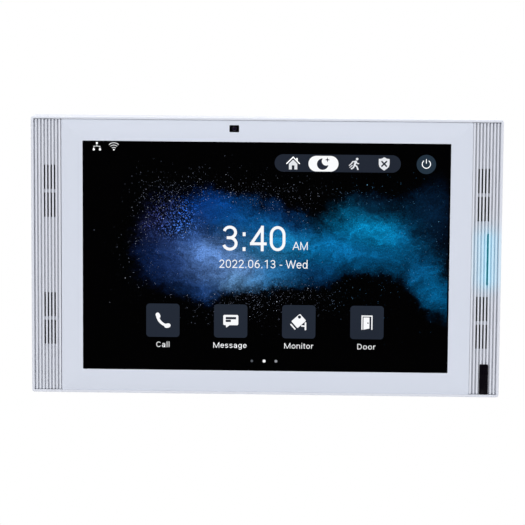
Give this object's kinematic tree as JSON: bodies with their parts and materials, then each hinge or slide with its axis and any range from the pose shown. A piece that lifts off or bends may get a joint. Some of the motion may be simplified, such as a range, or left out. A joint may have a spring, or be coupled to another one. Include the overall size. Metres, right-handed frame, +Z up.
{
  "type": "video intercom monitor",
  "caption": "Flat wall-hung indoor intercom station: wide touch display behind a flush glass front, ribbed sound grilles at both ends, light bar, camera window and a lift-off wall bracket.",
  "frame": {"origin": "centre of the wall bracket's back face, on the wall plane", "axes": "+X to the right as seen from the front, +Y from the front towards the wall, +Z up"},
  "size_m": [0.2806, 0.025, 0.1666],
  "materials": {
    "white_plastic": "satin",
    "cover_glass": "polished",
    "foam": "matte",
    "dust_mesh": "matte",
    "black_plastic": "satin",
    "lens_glass": "polished",
    "light_guide": "satin",
    "circuit_board": "satin",
    "display": "satin",
    "aluminium": "satin",
    "zinc_steel": "satin",
    "screw_steel": "satin",
    "terminal_green": "satin",
    "speaker_cone": "matte",
    "rubber": "matte",
    "flex_amber": "satin"
  },
  "bodies": {
    "bracket": {"wall_bracket": "zinc_steel"},
    "monitor": {"front_frame": "white_plastic", "rear_cover": "white_plastic", "grille_left": "white_plastic", "grille_right": "white_plastic", "cover_glass": "cover_glass", "glass_adhesive": "foam", "dust_mesh_left": "dust_mesh", "dust_mesh_right": "dust_mesh", "badge": "black_plastic", "camera_module": "black_plastic", "camera_lens": "lens_glass", "light_guide": "light_guide", "led_board": "circuit_board", "display_panel": "display", "backlight_tray": "aluminium", "support_plate": "zinc_steel", "main_board": "circuit_board", "processor_shield": "aluminium", "power_transformer": "black_plastic", "ethernet_jack": "zinc_steel", "signal_header": "terminal_green", "power_header": "terminal_green", "reset_switch": "black_plastic", "display_ribbon": "flex_amber", "camera_ribbon": "flex_amber", "speaker_gasket_left": "foam", "speaker_frame_left": "black_plastic", "speaker_magnet_left": "zinc_steel", "mic_boot_left": "rubber", "mic_capsule_left": "aluminium", "audio_lead_left": "black_plastic", "antenna_lead_left": "black_plastic", "wifi_antenna_left": "flex_amber", "speaker_gasket_right": "foam", "speaker_frame_right": "black_plastic", "speaker_magnet_right": "zinc_steel", "mic_boot_right": "rubber", "mic_capsule_right": "aluminium", "audio_lead_right": "black_plastic", "antenna_lead_right": "black_plastic", "wifi_antenna_right": "flex_amber", "plate_screw_1": "screw_steel", "board_screw_1": "screw_steel", "case_screw_1": "screw_steel", "plate_screw_2": "screw_steel", "board_screw_2": "screw_steel", "case_screw_2": "screw_steel", "plate_screw_3": "screw_steel", "board_screw_3": "screw_steel", "case_screw_3": "screw_steel", "plate_screw_4": "screw_steel", "board_screw_4": "screw_steel", "case_screw_4": "screw_steel"},
    "signal_plug": {"signal_plug": "terminal_green"},
    "power_plug": {"power_plug": "terminal_green"},
    "reset_button": {"reset_button": "white_plastic"},
    "speaker_cone_left": {"speaker_cone_left": "speaker_cone"},
    "speaker_cone_right": {"speaker_cone_right": "speaker_cone"}
  },
  "joints": [
    {"name": "monitor_lift", "type": "slide", "parent": "bracket", "child": "monitor", "axis": [0, 0, 1], "range_m": [0, 0.006]},
    {"name": "signal_plug_pull", "type": "slide", "parent": "monitor", "child": "signal_plug", "axis": [0, 0, -1], "range_m": [0, 0.009]},
    {"name": "power_plug_pull", "type": "slide", "parent": "monitor", "child": "power_plug", "axis": [0, 0, -1], "range_m": [0, 0.009]},
    {"name": "reset_press", "type": "slide", "parent": "monitor", "child": "reset_button", "axis": [0, -1, 0], "range_m": [0, 0.0006], "stiffness_N_per_m": 1500, "springref_m": -0.0003},
    {"name": "speaker_cone_left_travel", "type": "slide", "parent": "monitor", "child": "speaker_cone_left", "axis": [0, 1, 0], "range_m": [-0.0003, 0.0003], "stiffness_N_per_m": 900},
    {"name": "speaker_cone_right_travel", "type": "slide", "parent": "monitor", "child": "speaker_cone_right", "axis": [0, 1, 0], "range_m": [-0.0003, 0.0003], "stiffness_N_per_m": 900}
  ]
}
